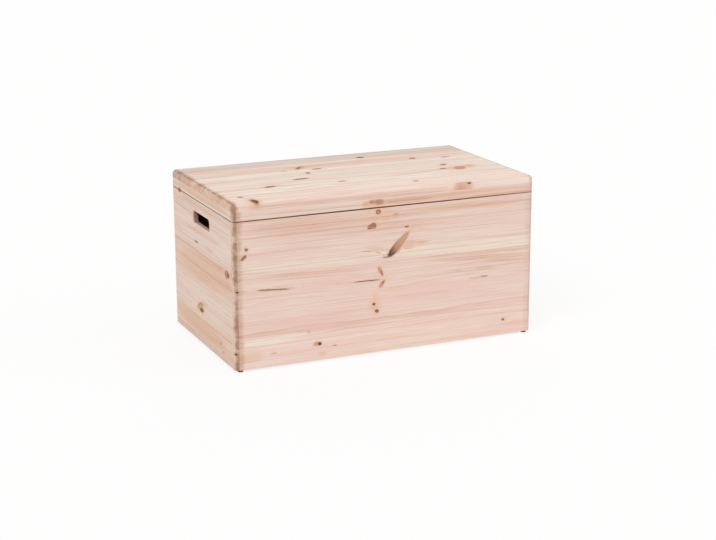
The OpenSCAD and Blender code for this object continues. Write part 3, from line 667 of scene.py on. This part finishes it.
TOP = {
    "axes": (0, 1, 2), "half": 400, "face": 410, "stave": 76, "seed": 6.0, "drift": 0.6,
    "ends": LID_ENDS, "end_darkness": (1.0, 0.4), "toned": 6,
    "tones": [
        (-229, "FCEFE2", 0.7),
        (-153, "F2EDE0", 0.8),
        (-77, "EFEBDE", 0.65),
        (-1, "E8E8DA", 0.65),
        (75, "E1D4C6", 0.85),
        (151, "C1B4A8", 0.7),
    ],
    "washes": [
        # The front edge is pinker, and so is a band towards the back.
        (0, -238, 430, 20, 0, "E9CCC0", 0.8),
        (0, -236, 300, 12, 0, "E6C3B4", 0.5),
        (0, 105, 430, 24, 0, "E4C3B3", 0.55, 0.5),
        (-345, 182, 40, 24, 0, "E8C0B2", 0.6),
        # Round the knots on the right.
        (275, -60, 62, 34, 6, "E8C3B0", 0.7, 0.3),
        (312, -48, 26, 15, 8, "D9AA90", 0.8, 0.2),
        (130, -80, 110, 9, 4, "E0B7A2", 0.6, 0.3),
        # Round the knots at the back.
        (130, 172, 60, 9, 0, "E5C29F", 0.6, 0.2),
        (-92, 110, 40, 18, 0, "D4A98F", 0.75, 0.2),
        # Stains on the front edge.
        (203, -229, 36, 11, 0, "E2B9A2", 0.8, 0.4),
        (196, -231, 26, 9, 0, "CEA48D", 0.7, 0.0),
        (-345, -224, 30, 8, 0, "ECD3C0", 0.7, 0.5),
        # Painted shade along the back edge, where its rounding turns away from the light: greyer.
        (0, 220, 430, 22, 0, "DCC9BC", 0.6, 0.4),
        (0, 229, 430, 10, 0, "C4B0A1", 0.6, 0.5),
        # The front edge on the left, and its corner.
        (-250, -236, 170, 14, 0, "E3C1B6", 0.5, 0.5),
        (-397, -225, 8, 8, 0, "B08877", 0.7, 0.4),
        # Soft bands in the middle.
        (-240, -76, 60, 14, 8, "E5C6B0", 0.5),
        (60, 60, 330, 10, 1, "EBDFD2", 0.6),
        (-60, -120, 330, 10, 1, "EFE0D3", 0.6),
    ],
    "knots": [
        (100, 165, 12, 8, 0, "dead"),
        (-97, 106, 24, 10, 50, "branch"),
        (-101, 103, 16, 5, 55, "live"),
        (-62, 74, 14, 6, 0, "live"),
        (-150, 80, 8, 5, 0, "faint"),
        (-102, 36, 6, 7, 0, "dead"),
        (-145, -24, 22, 7, 4, "live"),
        (-248, -78, 16, 8, 12, "live"),
        (-62, -92, 13, 5, 0, "pitch"),
        (220, 97, 10, 8, 0, "live"),
        (306, 77, 14, 5.5, 0, "pitch"),
        (256, -12, 11, 7, 20, "live"),
        (232, -57, 11, 6, 10, "live"),
        (276, -66, 21, 16, 50, "branch"),
        (103, -166, 8, 6, 0, "pitch"),
        (-353, -158, 8, 7, 0, "pitch"),
        # The dark knot near the front edge, and one on the edge itself, all shallow.
        (-338, -210, 10, 22, 0, "dead", {"depth": (410, 18)}),
        (-337, -212, 8, 15, 0, "bark", {"depth": (410, 18)}),
        (219, -228, 6, 3, 0, "dead", {"depth": (406.5, 3)}),
    ],
}

front_pine = pine("planed_pine_front", FRONT)
back_pine = pine("planed_pine_back", BACK)
left_pine = pine("planed_pine_left", LEFT)
right_pine = pine("planed_pine_right", RIGHT)
top_pine = pine("planed_pine_top", TOP)

# Plywood, sanded: the face veneer is peeled off a turning log, so its rings spread into broad, soft flames.
FLAME_SIZE = (420, 85, 40)
FLAMES = 11.0  # how many rings they spread into
PORE_SIZE = (18, 0.7, 2)
PLY = 1.67  # one of the three layers
plywood, t = new_material("sanded_rotary_cut_plywood")
mm, normal = millimetres(t)
flames_at = add(t, "VectorMath", {"operation": "MULTIPLY"}, {0: mm, 1: per(FLAME_SIZE)})
flames = add(t, "TexNoise", {}, {
    "Vector": flames_at, "Scale": 1.0, "Detail": 1.0, "Roughness": 0.4, "Distortion": 0.3})
bands = add(t, "Math", {"operation": "MULTIPLY"}, {0: flames, 1: FLAMES})
band = add(t, "Math", {"operation": "PINGPONG"}, {0: bands, 1: 1.0})
veneer = add(t, "ValToRGB", {"stops": [(0.0, "E9D8BC"), (0.6, "E4D0B1"), (0.88, "D9BF9B"), (1.0, "CDB08A")]}, {0: band})
pores_at = add(t, "VectorMath", {"operation": "MULTIPLY"}, {0: mm, 1: per(PORE_SIZE)})
pores = add(t, "TexNoise", {}, {"Vector": pores_at, "Scale": 1.0, "Detail": 2.0})
flecks = add(t, "MapRange", {}, {VALUE: pores, NEAR: 0.56, FAR: 0.74, AT_NEAR: 0.0, AT_FAR: 0.6})
wood = add(t, "Mix", TINTED, {SHARE: flecks, UNDER: veneer, OVER: "DCC3A6"})
# Its edge shows the layers, every other one end grain.
height = add(t, "SeparateXYZ", {}, {0: mm}).outputs[2]
ply = add(t, "Math", {"operation": "PINGPONG"}, {0: height, 1: PLY})
layer = add(t, "MapRange", {}, {VALUE: ply, NEAR: 0.4 * PLY, FAR: 0.6 * PLY, AT_NEAR: 0.0, AT_FAR: 1.0})
upright = add(t, "SeparateXYZ", {}, {0: normal}).outputs[2]
level = add(t, "Math", {"operation": "ABSOLUTE"}, {0: upright})
on_edge = add(t, "Math", {"operation": "SUBTRACT"}, {0: 1.0, 1: level})
edge_share = add(t, "Math", {"operation": "MULTIPLY"}, {0: layer, 1: on_edge})
wood = add(t, "Mix", LAID_OVER, {SHARE: edge_share, UNDER: wood, OVER: "B9976F"})
relief = add(t, "Bump", {}, {"Height": pores, "Strength": 0.3, "Distance": 0.06 * MM})
shader = add(t, "BsdfPrincipled", {}, {
    "Base Color": wood, "Roughness": 0.62, "Normal": relief, "IOR": 1.5, "Specular IOR Level": 0.35})
add(t, "OutputMaterial", {}, {"Surface": shader})

# Zinc plated and passivated: a satin sheen that drifts between straw and a cooler grey, with rolling marks. The
# real marks are finer; these are as fine as a close view can show.
FILM_SIZE = 9
ROLLED_SIZE = (14, 0.5, 0.5)
plated, t = new_material("yellow_zinc_plated_steel")
mm, _ = millimetres(t)
cloud = add(t, "TexNoise", {}, {"Vector": mm, "Scale": 1 / FILM_SIZE, "Detail": 3.0, "Roughness": 0.6})
film = add(t, "ValToRGB", {"stops": [(0.3, "C6BA96"), (0.5, "CFC5A9"), (0.68, "C9C4B8")]}, {0: cloud})
rolled_at = add(t, "VectorMath", {"operation": "MULTIPLY"}, {0: mm, 1: per(ROLLED_SIZE)})
rolled = add(t, "TexNoise", {}, {"Vector": rolled_at, "Scale": 1.0, "Detail": 2.0})
satin = add(t, "MapRange", {}, {VALUE: rolled, NEAR: 0.3, FAR: 0.7, AT_NEAR: 0.3, AT_FAR: 0.46})
relief = add(t, "Bump", {}, {"Height": rolled, "Strength": 0.25, "Distance": 0.02 * MM})
shader = add(t, "BsdfPrincipled", {}, {"Base Color": film, "Metallic": 1.0, "Roughness": satin, "Normal": relief})
add(t, "OutputMaterial", {}, {"Surface": shader})

# Bare turned steel: brighter and smoother than the plated sheet, with fine tool marks, drawn coarser than real ones
# so that a close view shows them.
TURNED_SIZE = 0.6
STAIN_SIZE = 5
bright, t = new_material("turned_bright_steel")
mm, _ = millimetres(t)
turned = add(t, "TexNoise", {}, {"Vector": mm, "Scale": 1 / TURNED_SIZE, "Detail": 2.0})
polish = add(t, "MapRange", {}, {VALUE: turned, NEAR: 0.3, FAR: 0.7, AT_NEAR: 0.2, AT_FAR: 0.34})
stain = add(t, "TexNoise", {}, {"Vector": mm, "Scale": 1 / STAIN_SIZE, "Detail": 2.0})
steel = add(t, "ValToRGB", {"stops": [(0.35, "B4B4B3"), (0.65, "C6C7C9")]}, {0: stain})
relief = add(t, "Bump", {}, {"Height": turned, "Strength": 0.2, "Distance": 0.01 * MM})
shader = add(t, "BsdfPrincipled", {}, {"Base Color": steel, "Metallic": 1.0, "Roughness": polish, "Normal": relief})
add(t, "OutputMaterial", {}, {"Surface": shader})

# Moulded plastic: the grain of the mould, drawn coarser than a real one, breaks up its dark brown sheen.
MOULD_SIZE = 0.8
plastic, t = new_material("moulded_brown_plastic")
mm, _ = millimetres(t)
mould = add(t, "TexNoise", {}, {"Vector": mm, "Scale": 1 / MOULD_SIZE, "Detail": 2.0})
shade = add(t, "ValToRGB", {"stops": [(0.3, "43332B"), (0.7, "503F35")]}, {0: mould})
relief = add(t, "Bump", {}, {"Height": mould, "Strength": 0.4, "Distance": 0.05 * MM})
shader = add(t, "BsdfPrincipled", {}, {"Base Color": shade, "Roughness": 0.48, "Normal": relief, "IOR": 1.5})
add(t, "OutputMaterial", {}, {"Surface": shader})

FINISHES = {
    front_pine: ["front_panel", "lid_front_rail"],
    back_pine: ["back_panel", "lid_back_rail"],
    left_pine: ["left_panel", "lid_left_rail"],
    right_pine: ["right_panel", "lid_right_rail"],
    top_pine: ["lid_top"],
    plywood: ["bottom_panel"],
    plated: [
        "hinge_left_body_leaf", "hinge_left_lid_leaf", "hinge_right_body_leaf", "hinge_right_lid_leaf",
        "hinge_body_screws", "hinge_lid_screws", "stay_plate", "stay_plate_screws", "stay_arm"],
    bright: ["hinge_left_pin", "hinge_right_pin", "stay_rivet", "stay_stud", "foot_nails"],
    plastic: ["foot_front_left", "foot_front_right", "foot_back_left", "foot_back_right"],
}
for finish, names in FINISHES.items():
    for node_name in names:
        for slot in nodes[node_name].material_slots:
            slot.link = "OBJECT"
            slot.material = finish


def seen(t):
    """1 where the camera looks, straight, in gloss or through glass, and 0 for the light that falls on the chest."""
    paths = add(t, "LightPath")
    looks = add(t, "Math", {"operation": "MAXIMUM"}, {
        0: paths.outputs["Is Camera Ray"], 1: paths.outputs["Is Glossy Ray"]})
    return add(t, "Math", {"operation": "MAXIMUM"}, {0: looks, 1: paths.outputs["Is Transmission Ray"]})


# A pale, matt floor, seen nearly as white, with the chest's own soft shadow left on it.
floor_material, t = new_material("pale_floor")
share = add(t, "Math", {"operation": "MULTIPLY"}, {0: seen(t), 1: 0.8})
matt = add(t, "BsdfDiffuse", {}, {"Color": "FAF9F8"})
glow = add(t, "Emission", {}, {"Color": "FFFFFF", "Strength": 1.0})
shader = add(t, "MixShader", {}, {0: share, 1: matt, 2: glow})
add(t, "OutputMaterial", {}, {"Surface": shader})
bpy.ops.mesh.primitive_plane_add(size=40, location=(0, 0, 0))
floor = bpy.context.object
floor.name = "pale_floor"
floor.data.materials.append(floor_material)

# A white room: half strength as light, and 1, white, where it is seen.
world = bpy.data.worlds.new("studio")
world.use_nodes = True
bpy.context.scene.world = world
t = world.node_tree
t.nodes.clear()
strength = add(t, "MapRange", {}, {VALUE: seen(t), NEAR: 0.0, FAR: 1.0, AT_NEAR: 0.5, AT_FAR: 1.0})
sky = add(t, "Background", {}, {"Color": "FFFFFF", "Strength": strength})
add(t, "OutputWorld", {}, {"Surface": sky})

# Soft lamps: where each stands, how strong, how wide in degrees.
for lamp_name, stands, power, wide in (
    ("key", (-1.3, -1.35, 2.2), 1.4, 40),
    ("fill", (1.8, -1.0, 1.4), 0.43, 60),
    ("back", (0.6, 1.8, 1.6), 0.43, 60),
):
    lamp = bpy.data.lights.new(lamp_name, "SUN")
    lamp.energy = power
    lamp.angle = math.radians(wide)
    stand = bpy.data.objects.new(lamp_name, lamp)
    stand.rotation_mode = "QUATERNION"
    stand.rotation_quaternion = (-Vector(stands)).to_track_quat("-Z", "Y")
    stand.location = stands
    bpy.context.scene.collection.objects.link(stand)

turn, lift = math.radians(AZIMUTH), math.radians(ELEVATION)
back = Vector((math.sin(turn) * math.cos(lift), -math.cos(turn) * math.cos(lift), math.sin(lift)))
lens = bpy.data.cameras.new("camera")
lens.lens = LENS
camera = bpy.data.objects.new("camera", lens)
camera.location = (Vector(AIM) + back * DISTANCE) * MM
camera.rotation_mode = "QUATERNION"
camera.rotation_quaternion = (-back).to_track_quat("-Z", "Y") @ Quaternion((0, 0, 1), math.radians(ROLL))
bpy.context.scene.collection.objects.link(camera)
bpy.context.scene.camera = camera
bpy.context.scene.view_settings.view_transform = "Standard"
